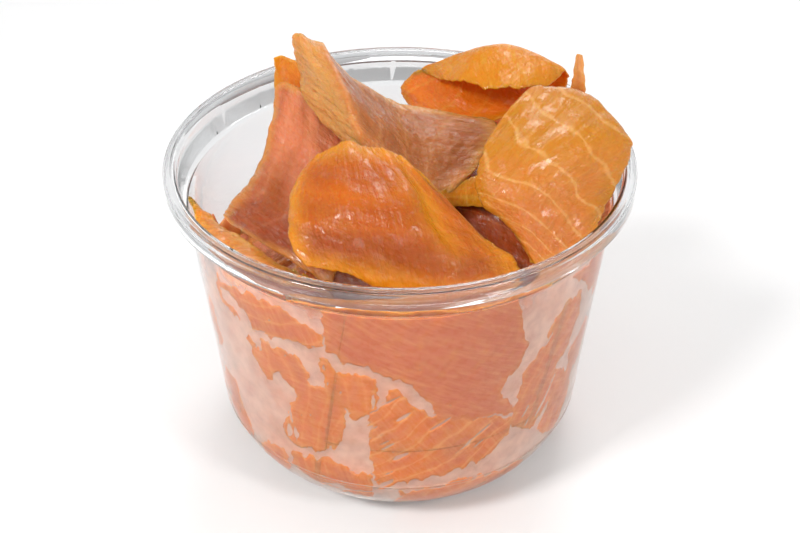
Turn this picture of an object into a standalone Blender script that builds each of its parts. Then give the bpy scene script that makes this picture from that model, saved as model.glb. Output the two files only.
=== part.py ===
"""Smoked salmon slices, loosely packed in a round clear deli tub without its lid.

The tub stands on its foot ring, centred on the Z axis, with its floor at z = 0.
+Y points away from the front of the pile. Every slice is its own thin closed sheet.
"""
import math

import bmesh
import bpy
import numpy as np

MM = 0.001

# Tub, in millimetres
TUB_STEPS = 36           # facets round the tub
WALL = 0.6               # plastic thickness
RIM_RADIUS = 58.5        # outside of the rolled rim
RIM_HEIGHT = 84.0
SKIRT_LOW = 79.6         # lower edge of the rim's skirt
BAND_RADIUS = 54.9       # wall between rim and stacking ledge, outside
LEDGE_HEIGHT = 74.0
LEDGE_STEP = 1.3
SHOULDER_RADIUS = 48.9   # where the tapered wall turns in to the base
SHOULDER_HEIGHT = 22.6
FOOT_OUT = 32.0          # flat ring that the tub stands on
FOOT_IN = 29.5
FLOOR_RAISE = 0.9

# Slices, in millimetres
SLICE = 2.2              # thickness of one slice
WALL_GAP = 0.5           # slice to tub
PACK_GAP = 0.6           # wall slices to the pile inside them
SLANT = 7.0              # degrees that the side edges of wall slices lean
WAVE = 2.2               # height of the wave in their upper and lower edges
WALL_SEGMENT = 9.0       # degrees between two points of a wall slice
WALL_ROWS = 4

# Slices that lie on top, as rows of points on the middle of each sheet. Rows run from the
# lower edge to the upper edge, and each row from left to right.
TOP_SLICES = {
    # rounded tongue at the front, standing up behind the rim and falling to the right
    "front_slice": [
        [(-23, -42.5, 81), (-12.5, -42.5, 81), (2, -44.5, 77), (15.5, -43.5, 75), (27, -38, 74)],
        [(-26, -34, 85.5), (-14.5, -37.5, 88.5), (-0.5, -40.5, 89.5), (13, -39, 83), (25, -34, 76.5)],
        [(-25, -24, 89.5), (-15.5, -28, 93), (-3.5, -30.5, 94), (7.5, -31, 89), (19, -33, 81.5)],
        [(-21, -19, 92.5), (-15, -18, 96), (-7, -19, 97), (0.5, -22, 95.5), (7.5, -25.5, 90)],
    ],
    # tallest slice: a pointed peak at the left with a ridge that sinks to a saddle
    "peak_slice": [
        [(-13.5, -6.5, 91), (-8.5, -13.5, 94), (-0.5, -14, 88), (8, -14.5, 82.5), (17, -8.5, 82.5)],
        [(-22, 6, 96), (-11.5, -6.5, 98.5), (-3, -8.5, 92), (6.5, -7, 85), (19.5, -2, 83.5)],
        [(-25, 14.5, 101.5), (-16, 4, 102), (-6, 1.5, 95), (5.5, 1.5, 87.5), (22.5, 7, 84)],
        [(-27.5, 20, 107), (-22, 19, 104.5), (-11.5, 14.5, 97), (1, 15, 89), (25, 15, 85)],
    ],
    # pink slice that stands at the left and spreads towards the wall at its foot
    "left_slice": [
        [(-46.5, -6.5, 70), (-35, -21, 72.5), (-24, -31, 71.5)],
        [(-39.5, -7, 76), (-29.5, -17.5, 79), (-21, -22.5, 79)],
        [(-33, 1.5, 86), (-26, -4, 87), (-18.5, -7, 86)],
        [(-32, 13, 94), (-26, 9.5, 94.5), (-19.5, 5.5, 93)],
    ],
    # thin flap behind the top of the pink slice
    "back_flap": [
        [(-32.5, 19, 89), (-27, 17.5, 89), (-21, 14.5, 89)],
        [(-32, 20.5, 100), (-28.5, 19, 100), (-25.5, 17.5, 99.5)],
    ],
    # slice at the back right that rises and rolls forward over itself
    "curled_slice": [
        [(2.5, 30, 80), (11.5, 20, 81), (26, 21.5, 81), (41, 27.5, 82)],
        [(1, 37, 81), (13, 28, 85), (27.5, 28, 86), (43, 27.5, 86)],
        [(4, 39.5, 85), (14, 35, 92), (28, 31.5, 97), (43, 25, 93.5)],
        [(7, 35, 87), (14, 24, 91), (27, 16, 93.5), (39, 17.5, 92)],
    ],
    # broad leaf that leans on the right side of the rim
    "right_slice": [
        [(31.5, -37, 75), (34.5, -35.5, 75), (38.5, -32, 74.5), (43, -27.5, 74.5)],
        [(23.5, -27.5, 82), (30.5, -31, 82), (38, -29.5, 81), (47, -25, 80)],
        [(18, -23, 87.5), (27.5, -26, 89.5), (38, -23, 88.5), (50.5, -17.5, 84)],
        [(19, -16.5, 94), (30, -15, 96.5), (42.5, -13.5, 96), (55, -9.5, 92)],
        [(23, -9, 98.5), (32.5, 1, 101), (44, 4, 99), (51.5, -1.5, 95)],
    ],
    # slice seen in the gap between the front and the right one
    "inner_slice": [
        [(15, -22, 72), (23.5, -27, 71.5), (32, -31, 70)],
        [(12, -15, 75), (22, -19, 75), (32.5, -26, 73)],
        [(9.5, -8.5, 78), (20, -9.5, 77.5), (32, -17, 76)],
    ],
    # thin tip behind the right slice
    "back_tip": [
        [(43, 19, 87), (49, 18, 87)],
        [(43.5, 16.5, 94), (47, 15, 94)],
        [(44.5, 19, 101), (46, 19, 101)],
    ],
    # strip along the inside of the rim at the left, with its cut edge up
    "rim_strip": [
        [(-52, -8.5, 77), (-48, -21.5, 77), (-38.5, -35.5, 76.5), (-20, -48.5, 76)],
        [(-51, -12, 77), (-42.5, -20.5, 76), (-33, -30.5, 75.5), (-17.5, -42.5, 75)],
    ],
    # slice under the front one, running up to the wall
    "base_slice": [
        [(-15, -48.5, 74.6), (5, -50.5, 74.6), (24, -45.5, 74.4)],
        [(-17, -39.5, 70.5), (1, -42, 70.5), (18, -40.5, 70)],
        [(-18, -29, 69.5), (-3, -33, 69.5), (13, -33, 69)],
    ],
}

# Slices that lie against the wall: first and last angle in degrees, lowest and highest point.
# Angles run from +X (right) over +Y (back), so 270 is the front.
WALL_SLICES = {
    "wall_front": (252, 312, 33, 70),
    "wall_front_low": (250, 309, 4, 29),
    "wall_left_band": (206, 248, 57, 70),
    "wall_left_fan": (211, 248, 27, 54),
    "wall_left_low": (199, 247, 4, 24),
    "wall_left": (165, 208, 28, 55),
    "wall_right": (315, 351, 31, 70),
    "wall_right_low": (312, 368, 4, 27),
    "wall_right_back": (354, 394, 31, 68),
    "wall_back_right": (37, 77, 30, 65),
    "wall_back_right_low": (11, 73, 4, 26),
    "wall_back": (80, 120, 28, 59),
    "wall_back_low": (76, 134, 4, 24),
    "wall_back_left": (123, 162, 28, 48),
    "wall_back_left_low": (137, 196, 4, 24),
}

# Pile inside the wall slices
PILE_STEPS = 28
SIDE_LOW = 4.0           # height on the tub's wall where its side begins
PILE_TOP = 66.0          # height of its top at the front and right
PILE_DIP = 17.0          # how far the top falls towards the back left
PILE_MOUND = 13.0        # height of the mound under the peak
MOUND_CENTRE = (6.0, 6.0)
MOUND_SPREAD = 17.0

# Colours, as linear RGB, with roughness
SALMON_ORANGE = (0.62, 0.17, 0.045)
SALMON_PINK = (0.62, 0.20, 0.085)
SALMON_GOLD = (0.62, 0.23, 0.03)
CLEAR_PLASTIC = (0.93, 0.95, 0.96)
FISH_ROUGHNESS = 0.35
PLASTIC_ROUGHNESS = 0.08


def clear_scene():
    for old in list(bpy.data.objects):
        bpy.data.objects.remove(old, do_unlink=True)


def new_material(name, colour, roughness, transmission=0.0):
    material = bpy.data.materials.new(name)
    material.use_nodes = True
    shader = material.node_tree.nodes["Principled BSDF"]
    shader.inputs["Base Color"].default_value = (*colour, 1.0)
    shader.inputs["Roughness"].default_value = roughness
    shader.inputs["Transmission Weight"].default_value = transmission
    material.diffuse_color = (*colour, 1.0)
    return material


def add_object(name, mesh, collection, material):
    mesh.materials.append(material)
    thing = bpy.data.objects.new(name, mesh)
    collection.objects.link(thing)
    return thing


def subdivide(thing, levels):
    smooth = thing.modifiers.new("Subdivision", "SUBSURF")
    smooth.levels = levels
    smooth.render_levels = levels
    smooth.boundary_smooth = "PRESERVE_CORNERS"


def solidify(thing, thickness, offset, even=False):
    shell = thing.modifiers.new("Solidify", "SOLIDIFY")
    shell.thickness = thickness * MM
    shell.offset = offset
    shell.use_even_offset = even


def quarter_curve(start, end, steps, bulge_first):
    """Points of a quarter ellipse from start to end, both given as (radius, height).

    With bulge_first the curve leaves start vertically, otherwise horizontally.
    """
    points = []
    for i in range(1, steps):
        turn = 0.5 * math.pi * i / steps
        across, down = (1 - math.cos(turn), math.sin(turn))
        if not bulge_first:
            across, down = (down, across)
        points.append((start[0] + (end[0] - start[0]) * across, start[1] + (end[1] - start[1]) * down))
    return points


def wall_profile():
    """Outer face of the wall with the underside of the rim, from the skirt to the axis."""
    skirt = (RIM_RADIUS - WALL, SKIRT_LOW)
    hook_out = (RIM_RADIUS - WALL, RIM_HEIGHT - WALL - 1.0)
    hook_top = (RIM_RADIUS - WALL - 1.0, RIM_HEIGHT - WALL)
    hook_in = (BAND_RADIUS + 0.6, RIM_HEIGHT - WALL - 1.0)
    shoulder = (SHOULDER_RADIUS, SHOULDER_HEIGHT)
    foot = (FOOT_OUT, 0.0)
    return [
        skirt,
        hook_out,
        *quarter_curve(hook_out, hook_top, 2, True),
        hook_top,
        (hook_in[0] + 0.5, RIM_HEIGHT - WALL),
        hook_in,
        (BAND_RADIUS, LEDGE_HEIGHT + 0.6),
        (BAND_RADIUS - LEDGE_STEP, LEDGE_HEIGHT),
        shoulder,
        *quarter_curve(shoulder, foot, 5, True),
        foot,
        (FOOT_IN, 0.0),
        (FOOT_IN - 1.5, FLOOR_RAISE),
        (0.0, FLOOR_RAISE),
    ]


def inner_radius(height):
    """Radius of the tub's inner face at a height between its floor and its stacking ledge."""
    if height >= SHOULDER_HEIGHT:
        part = (height - SHOULDER_HEIGHT) / (LEDGE_HEIGHT - SHOULDER_HEIGHT)
        outer = SHOULDER_RADIUS + (BAND_RADIUS - LEDGE_STEP - SHOULDER_RADIUS) * part
    else:
        fall = min((SHOULDER_HEIGHT - height) / SHOULDER_HEIGHT, 1.0)
        outer = FOOT_OUT + (SHOULDER_RADIUS - FOOT_OUT) * math.sqrt(1 - fall * fall)
    return outer - WALL


def build_tub(collection, material):
    mesh = bpy.data.meshes.new("tub")
    bm = bmesh.new()
    ring = [bm.verts.new((radius * MM, 0.0, height * MM)) for radius, height in wall_profile()]
    for first, second in zip(ring, ring[1:]):
        bm.edges.new((first, second))
    bm.to_mesh(mesh)
    bm.free()
    tub = add_object("tub", mesh, collection, material)
    turn = tub.modifiers.new("Turn", "SCREW")
    turn.axis = "Z"
    turn.angle = math.tau
    turn.steps = TUB_STEPS
    turn.render_steps = TUB_STEPS
    turn.use_merge_vertices = True
    turn.merge_threshold = 0.00005
    turn.use_smooth_shade = True
    solidify(tub, WALL, -1.0, even=True)
    return tub


def grid_mesh(name, rows):
    """Mesh of four-sided faces through rows of points given in millimetres."""
    mesh = bpy.data.meshes.new(name)
    bm = bmesh.new()
    grid = [[bm.verts.new([value * MM for value in point]) for point in row] for row in rows]
    for lower, upper in zip(grid, grid[1:]):
        for i in range(len(lower) - 1):
            bm.faces.new((lower[i], lower[i + 1], upper[i + 1], upper[i]))
    bm.to_mesh(mesh)
    bm.free()
    for face in mesh.polygons:
        face.use_smooth = True
    return mesh


def cage_through(rows):
    """Cage whose subdivided surface passes through the given rows of points.

    A subdivided grid is a cubic B-spline sheet: along each line a point of the surface is
    one sixth, four sixths and one sixth of three cage points in a row, and the ends are kept.
    """
    points = np.array(rows, dtype=float)

    def undo(count):
        weights = np.eye(count)
        for i in range(1, count - 1):
            weights[i, i - 1:i + 2] = (1 / 6, 4 / 6, 1 / 6)
        return np.linalg.inv(weights)

    return np.einsum("ij,jkc,lk->ilc", undo(points.shape[0]), points, undo(points.shape[1]))


def build_top_slice(name, rows, collection, material):
    thing = add_object(name, grid_mesh(name, cage_through(rows)), collection, material)
    subdivide(thing, 2)
    solidify(thing, SLICE, 0.0)
    return thing


def inside_wall(height, depth):
    """Radius and height of a point that lies depth inside the tub's inner face, square to it."""
    step = 0.05
    slope = (inner_radius(height + step) - inner_radius(height - step)) / (2 * step)
    length = math.sqrt(1 + slope * slope)
    return (inner_radius(height) - depth / length, height + depth * slope / length)


def wall_point(angle, height):
    """Middle of a wall slice. One warp for all of them keeps neighbouring edges parallel."""
    turn = math.radians(angle)
    lean = SLANT * (height - 37.0) / 35.0
    wave = WAVE * math.sin(3 * turn + 0.6) * min(height / 35.0, 1.0)
    turn = math.radians(angle + lean)
    radius, height = inside_wall(height + wave, WALL_GAP + SLICE / 2)
    return (radius * math.cos(turn), radius * math.sin(turn), height)


def build_wall_slice(name, bounds, collection, material):
    first, last, low, high = bounds
    columns = max(3, round((last - first) / WALL_SEGMENT))
    rows = []
    for j in range(WALL_ROWS + 1):
        height = low + (high - low) * j / WALL_ROWS
        rows.append([wall_point(first + (last - first) * i / columns, height) for i in range(columns + 1)])
    thing = add_object(name, grid_mesh(name, rows), collection, material)
    solidify(thing, SLICE, 0.0)
    return thing


def pile_top(x, y):
    """Height of the pile: level at the front and right, low at the back left, one mound."""
    toward_back_left = (y - x) / math.sqrt(2)
    dip = PILE_DIP / (1 + math.exp(-(toward_back_left - 14.0) / 6.0))
    distance = math.hypot(x - MOUND_CENTRE[0], y - MOUND_CENTRE[1]) / MOUND_SPREAD
    return PILE_TOP - dip + PILE_MOUND * math.exp(-0.5 * distance * distance)


def build_pile(collection, material):
    """Closed body of the slices in the middle: a stack of rings from its floor to its top."""
    floor = FLOOR_RAISE + WALL + 0.5
    inset = WALL_GAP + SLICE + PACK_GAP
    rings = []
    for part in (0.0, 0.35, 0.7, 1.0):
        rings.append([(part * (FOOT_IN - 2.0), floor)] * PILE_STEPS)
    for part in (0.0, 0.12, 0.26, 0.42, 0.6, 0.8, 1.0):
        ring = []
        for i in range(PILE_STEPS):
            turn = math.tau * i / PILE_STEPS
            edge = inner_radius(57.0) - inset
            top = pile_top(edge * math.cos(turn), edge * math.sin(turn)) - 1.0
            height = SIDE_LOW + (top - SIDE_LOW) * part
            ring.append(inside_wall(height, inset))
        rings.append(ring)
    for part in (0.88, 0.66, 0.44, 0.22, 0.0):
        ring = []
        for i in range(PILE_STEPS):
            turn = math.tau * i / PILE_STEPS
            radius = part * (inner_radius(57.0) - inset)
            ring.append((radius, pile_top(radius * math.cos(turn), radius * math.sin(turn))))
        rings.append(ring)

    mesh = bpy.data.meshes.new("packed_slices")
    bm = bmesh.new()
    layers = []
    for ring in rings:
        if ring[0][0] == 0.0:
            layers.append([bm.verts.new((0.0, 0.0, ring[0][1] * MM))] * PILE_STEPS)
            continue
        layer = []
        for i, (radius, height) in enumerate(ring):
            turn = math.tau * i / PILE_STEPS
            layer.append(bm.verts.new((radius * math.cos(turn) * MM, radius * math.sin(turn) * MM, height * MM)))
        layers.append(layer)
    for lower, upper in zip(layers, layers[1:]):
        for i in range(PILE_STEPS):
            k = (i + 1) % PILE_STEPS
            corners = [lower[i], lower[k], upper[k], upper[i]]
            face = [corner for n, corner in enumerate(corners) if corner not in corners[:n]]
            bm.faces.new(face)
    bm.to_mesh(mesh)
    bm.free()
    for face in mesh.polygons:
        face.use_smooth = True
    return add_object("packed_slices", mesh, collection, material)


def main():
    clear_scene()
    collection = bpy.data.collections.new("smoked_salmon_slices")
    bpy.context.scene.collection.children.link(collection)
    plastic = new_material("clear_plastic", CLEAR_PLASTIC, PLASTIC_ROUGHNESS, 0.9)
    orange = new_material("smoked_salmon_orange", SALMON_ORANGE, FISH_ROUGHNESS)
    pink = new_material("smoked_salmon_pink", SALMON_PINK, FISH_ROUGHNESS)
    gold = new_material("smoked_salmon_gold", SALMON_GOLD, FISH_ROUGHNESS)
    shade = {"left_slice": pink, "peak_slice": pink, "inner_slice": pink, "base_slice": pink,
             "curled_slice": gold, "back_flap": gold}

    build_tub(collection, plastic)
    build_pile(collection, pink)
    for name, bounds in WALL_SLICES.items():
        build_wall_slice(name, bounds, collection, orange)
    for name, rows in TOP_SLICES.items():
        build_top_slice(name, rows, collection, shade.get(name, orange))


main()
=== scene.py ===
import math

import bmesh
import bpy
import numpy as np
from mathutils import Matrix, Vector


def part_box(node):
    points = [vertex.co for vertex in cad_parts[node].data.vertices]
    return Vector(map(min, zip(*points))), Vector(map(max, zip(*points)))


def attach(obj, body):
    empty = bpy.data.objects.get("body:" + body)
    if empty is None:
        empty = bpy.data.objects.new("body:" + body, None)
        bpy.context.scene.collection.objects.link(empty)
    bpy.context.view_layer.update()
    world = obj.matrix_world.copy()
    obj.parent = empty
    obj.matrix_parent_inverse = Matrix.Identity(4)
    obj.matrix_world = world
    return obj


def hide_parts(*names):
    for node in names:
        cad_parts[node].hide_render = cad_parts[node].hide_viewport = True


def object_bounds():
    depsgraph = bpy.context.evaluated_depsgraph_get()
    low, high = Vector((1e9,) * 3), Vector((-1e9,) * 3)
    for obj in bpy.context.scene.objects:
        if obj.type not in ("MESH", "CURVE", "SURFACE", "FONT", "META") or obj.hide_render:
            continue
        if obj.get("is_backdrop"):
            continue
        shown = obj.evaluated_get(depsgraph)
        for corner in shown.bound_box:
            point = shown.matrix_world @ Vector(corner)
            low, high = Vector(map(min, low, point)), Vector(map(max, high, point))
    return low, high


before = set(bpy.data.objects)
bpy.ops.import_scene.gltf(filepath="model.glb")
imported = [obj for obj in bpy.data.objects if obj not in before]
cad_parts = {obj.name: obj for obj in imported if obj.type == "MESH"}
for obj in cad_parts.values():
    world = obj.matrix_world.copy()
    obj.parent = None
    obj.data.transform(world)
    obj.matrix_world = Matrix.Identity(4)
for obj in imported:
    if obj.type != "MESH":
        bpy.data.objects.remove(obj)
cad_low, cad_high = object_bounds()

# Tub: a round deli tub without its lid, injection moulded in one piece from clear
# polypropylene about 0.6 mm thick. It has a rolled rim with a skirt, a stacking ledge
# under it, a tapered wall and a foot ring.
MM = 0.001
WALL = 0.6
TUB_FACETS = 288
SKIRT_HEIGHT = 4.4        # from the rim's top down to the skirt's lower edge
LEDGE_DROP = 10.0         # from the rim's top down to the stacking ledge
BAND_IN = 3.6             # from the rim's edge in to the band between rim and ledge
LEDGE_STEP = 1.3          # width of the stacking ledge
SHOULDER = (48.9, 22.6)   # radius and height where the wall turns in to the base
FOOT = (32.0, 29.5)       # outer and inner radius of the flat foot ring
RIDGE_HEIGHT = 15.2       # a fine ridge round the base, where the mould parts
RIDGE = 0.3
RIDGE_WIDTH = 0.45
FLOOR_RAISE = 0.9         # how far the middle of the floor is above the foot ring
PLASTIC_IOR = 1.49

tub_low, tub_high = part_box("tub")
rim_radius = tub_high.x / MM
rim_height = tub_high.z / MM
skirt_radius = rim_radius - WALL
band_radius = rim_radius - BAND_IN
ledge_height = rim_height - LEDGE_DROP
wall_top_radius = band_radius - LEDGE_STEP


def rounded(corners, steps=6):
    """Outline through (radius, height, fillet) corners, each rounded by its fillet."""
    points = [np.array(corners[0][:2], float)]
    for before, corner, after in zip(corners, corners[1:], corners[2:]):
        middle = np.array(corner[:2], float)
        back = np.array(before[:2], float) - middle
        ahead = np.array(after[:2], float) - middle
        reach = min(corner[2], 0.45 * np.hypot(*back), 0.45 * np.hypot(*ahead))
        if reach <= 0:
            points.append(middle)
            continue
        start = middle + back / np.hypot(*back) * reach
        end = middle + ahead / np.hypot(*ahead) * reach
        for part in np.linspace(0, 1, steps):
            points.append((1 - part) ** 2 * start + 2 * part * (1 - part) * middle + part ** 2 * end)
    points.append(np.array(corners[-1][:2], float))
    return points


def tapered_wall(steps):
    """Points down the wall from the stacking ledge to its shoulder."""
    parts = np.linspace(0.04, 0.98, steps)
    return [(wall_top_radius + (SHOULDER[0] - wall_top_radius) * part,
             ledge_height + (SHOULDER[1] - ledge_height) * part, 0.0) for part in parts]


def shoulder_curve(steps):
    """Quarter ellipse from the foot of the tapered wall to the base, with its moulded ridge."""
    curve = []
    for turn in np.linspace(0, math.pi / 2, steps):
        height = SHOULDER[1] * (1 - math.sin(turn))
        ridge = RIDGE * math.exp(-((height - RIDGE_HEIGHT) / RIDGE_WIDTH) ** 2)
        curve.append((FOOT[0] + (SHOULDER[0] - FOOT[0]) * math.cos(turn) + ridge, height, 0.0))
    return curve


outer_face = np.array(rounded([
    (skirt_radius, rim_height - SKIRT_HEIGHT, 0.0),
    (skirt_radius, rim_height - 0.7, 1.3),
    (skirt_radius - 1.0, rim_height - 0.9, 0.6),
    (band_radius + 1.25, rim_height - 0.35, 0.6),
    (band_radius + 0.6, rim_height - 1.5, 0.9),
    (band_radius, ledge_height + 0.7, 0.3),
    (wall_top_radius + 0.1, ledge_height, 0.3),
    *tapered_wall(12),
    *shoulder_curve(90),
    (FOOT[1], 0.0, 0.8),
    (FOOT[1] - 1.5, FLOOR_RAISE, 0.8),
    (0.0, FLOOR_RAISE, 0.0),
]))


def offset_line(line, distance):
    """The line moved sideways, to the right of its direction when distance is positive."""
    ahead = np.gradient(line, axis=0)
    ahead /= np.linalg.norm(ahead, axis=1)[:, None] + 1e-12
    return line + distance * np.stack([ahead[:, 1], -ahead[:, 0]], axis=1)


inner_face = offset_line(outer_face, WALL)
inner_face[-1, 0] = 0.0
section = np.concatenate([outer_face[::-1], inner_face])


def quads_between(rows, columns, close_rows=False, close_columns=False):
    """Corner numbers of the faces of a grid, whose last line may join its first."""
    number = np.arange(rows * columns).reshape(rows, columns)
    if close_rows:
        number = np.concatenate([number, number[:1]])
    if close_columns:
        number = np.concatenate([number, number[:, :1]], axis=1)
    corners = [number[:-1, :-1], number[:-1, 1:], number[1:, 1:], number[1:, :-1]]
    return np.stack(corners, axis=-1).reshape(-1, 4)


def new_piece(name, points, faces, material, values={}, merge=False):
    """Smooth-shaded mesh object from points in millimetres, with named values on its points."""
    mesh = bpy.data.meshes.new(name)
    mesh.from_pydata((np.asarray(points).reshape(-1, 3) * MM).tolist(), [], np.asarray(faces).tolist())
    for key, value in values.items():
        mesh.attributes.new(key, "FLOAT", "POINT").data.foreach_set("value", value.astype(np.float32).ravel())
    if merge:
        work = bmesh.new()
        work.from_mesh(mesh)
        bmesh.ops.remove_doubles(work, verts=work.verts, dist=0.00001)
        bmesh.ops.recalc_face_normals(work, faces=work.faces)
        work.to_mesh(mesh)
        work.free()
    mesh.polygons.foreach_set("use_smooth", [True] * len(mesh.polygons))
    mesh.materials.append(material)
    piece = bpy.data.objects.new(name, mesh)
    bpy.context.scene.collection.objects.link(piece)
    return piece


def linear(colour):
    """sRGB hex such as "E08A4C" as linear RGBA."""
    values = [int(colour[i:i + 2], 16) / 255 for i in (0, 2, 4)]
    return [v / 12.92 if v <= 0.04045 else ((v + 0.055) / 1.055) ** 2.4 for v in values] + [1.0]


def node(tree, kind, inputs=(), **settings):
    """Adds a shader node. An input that is a socket is linked, and any other value is set."""
    made = tree.nodes.new(kind)
    for key, value in settings.items():
        setattr(made, key, value)
    for key, value in dict(inputs).items():
        if isinstance(value, bpy.types.NodeSocket):
            tree.links.new(value, made.inputs[key])
        else:
            made.inputs[key].default_value = value
    return made


def new_material(name):
    material = bpy.data.materials.new(name)
    material.use_nodes = True
    material.node_tree.nodes.clear()
    return material, material.node_tree


# Clear polypropylene, moulded: colourless and glossy. Oil and moisture from the fish leave a
# thin pale film on the inside wherever no slice is pressed against it.
PLASTIC = "EDEEEF"
FILM_TINT = "E8C8B4"
FILM_PATCH = 7.0          # millimetres between thin and thick spots in the film
FILM_COVER = (0.34, 0.74) # how much of the plastic the film hides, thin and thick
plastic, tree = new_material("clear_moulded_polypropylene")
where = node(tree, "ShaderNodeTexCoord")
filled = node(tree, "ShaderNodeAttribute", attribute_name="film")
patches = node(tree, "ShaderNodeTexNoise", {"Vector": where.outputs["Object"], "Scale": 1 / (FILM_PATCH * MM),
                                            "Detail": 3.0, "Roughness": 0.6})
film_patch = node(tree, "ShaderNodeMapRange", {"Value": patches.outputs[0], "From Min": 0.3, "From Max": 0.7,
                                               "To Min": FILM_COVER[0], "To Max": FILM_COVER[1]})
film = node(tree, "ShaderNodeMath", {0: film_patch.outputs[0], 1: filled.outputs["Fac"]},
            operation="MULTIPLY")
clearness = node(tree, "ShaderNodeMath", {0: 1.0, 1: film.outputs[0]}, operation="SUBTRACT")
gloss = node(tree, "ShaderNodeMapRange", {"Value": film.outputs[0], "To Min": 0.03, "To Max": 0.15})
tint = node(tree, "ShaderNodeMix", {0: filled.outputs["Fac"], 6: linear(PLASTIC), 7: linear(FILM_TINT)},
            data_type="RGBA")
shell = node(tree, "ShaderNodeBsdfPrincipled", {"Base Color": tint.outputs[2], "IOR": PLASTIC_IOR,
                                                "Roughness": gloss.outputs[0],
                                                "Transmission Weight": clearness.outputs[0]})
light_path = node(tree, "ShaderNodeLightPath")
open_to_light = node(tree, "ShaderNodeBsdfTransparent", {"Color": (0.97, 0.97, 0.97, 1)})
mix = node(tree, "ShaderNodeMixShader", {0: light_path.outputs["Is Shadow Ray"], 1: shell.outputs[0],
                                         2: open_to_light.outputs[0]})
node(tree, "ShaderNodeOutputMaterial", {0: mix.outputs[0]})


def outer_radius(height):
    """Radius of the tub's outer face at heights below its stacking ledge."""
    up = np.clip((height - SHOULDER[1]) / (ledge_height - SHOULDER[1]), 0, None)
    fall = np.clip((SHOULDER[1] - height) / SHOULDER[1], 0, 0.999)
    tapered = SHOULDER[0] + (wall_top_radius - SHOULDER[0]) * up
    curved = FOOT[0] + (SHOULDER[0] - FOOT[0]) * np.sqrt(1 - fall ** 2)
    return np.where(height >= SHOULDER[1], tapered, curved)


def soft_noise(x, y, seed):
    """Smooth noise between -1 and 1, with about one swell to each unit of x and y."""
    lattice = np.random.default_rng(seed).uniform(-1, 1, (97, 97))
    column, row = np.floor(x).astype(int), np.floor(y).astype(int)
    right, up = x - column, y - row
    right, up = right * right * (3 - 2 * right), up * up * (3 - 2 * up)
    column, row, after, above = column % 97, row % 97, (column + 1) % 97, (row + 1) % 97
    lower = lattice[column, row] * (1 - right) + lattice[after, row] * right
    upper = lattice[column, above] * (1 - right) + lattice[after, above] * right
    return lower * (1 - up) + upper * up


def rough_noise(x, y, seed, octaves=3):
    total = sum(soft_noise(x * 2 ** k, y * 2 ** k, seed + k) * 0.5 ** k for k in range(octaves))
    return total / (2 - 0.5 ** (octaves - 1))


def smooth_step(low, high, value):
    part = np.clip((value - low) / (high - low), 0, 1)
    return part * part * (3 - 2 * part)


turns = np.linspace(0, math.tau, TUB_FACETS, endpoint=False)
tub_points = np.stack([
    section[:, None, 0] * np.cos(turns),
    section[:, None, 0] * np.sin(turns),
    np.repeat(section[:, 1:2], TUB_FACETS, axis=1),
], axis=-1)
# how high the film reaches, as (degrees from +X over +Y, millimetres)
FILM_TOP = [(-20, 73), (15, 70), (34, 67), (75, 63), (118, 58), (130, 49), (165, 49), (180, 54), (200, 59),
            (212, 72), (235, 74), (340, 73)]
around = (np.degrees(turns) + 20) % 360 - 20
film_top = np.interp(around, *np.array(FILM_TOP, float).T) + 2.5 * rough_noise(around / 6, around * 0, 3)
face_height = section[:, 1:2] + 0 * turns
film_on = smooth_step(0.5, -2.0, face_height - np.minimum(film_top, ledge_height))
film_on = film_on * (np.arange(len(section)) >= len(outer_face))[:, None]
tub = new_piece("deli_tub", tub_points, quads_between(len(section), TUB_FACETS, True, True), plastic,
                {"film": film_on}, merge=True)
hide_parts("tub")
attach(tub, "root")

# Slices against the wall: cold smoked salmon cut about 2 mm thick, laid flat round the
# inside of the tub. Where a slice is pressed on the plastic its colour shows clearly, and
# between those places it lifts off and looks paler.
SLICE = 2.0
SLANT = 7.0               # degrees that the side edges lean
PRESS = 0.22              # how far a pressed slice reaches into the plastic, so no gap shows
LIFT = 2.6                # how far a slice lifts off between its pressed places
UNROLL = 52.0             # radius at which angles round the wall are turned to millimetres
GROW = 2.0                # how far a slice runs on at its lower and upper edge
GROW_TURN = 2.4           # and at its side edges, in degrees
STAGGER = 0.04            # how far slices that overlap are set apart
WALL_STEP = 0.42          # grid spacing of the slices at the front
WALL_STEP_BACK = 0.9

# first and last angle of each slice, in degrees from +X over +Y
WALL_SLICES = {
    "wall_front": (252, 312),
    "wall_front_low": (250, 309),
    "wall_left_band": (206, 248),
    "wall_left_fan": (211, 248),
    "wall_left_low": (199, 247),
    "wall_left": (165, 208),
    "wall_right": (315, 351),
    "wall_right_low": (312, 368),
    "wall_right_back": (354, 394),
    "wall_back_right": (37, 77),
    "wall_back_right_low": (11, 73),
    "wall_back": (80, 120),
    "wall_back_low": (76, 134),
    "wall_back_left": (123, 162),
    "wall_back_left_low": (137, 196),
}

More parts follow.
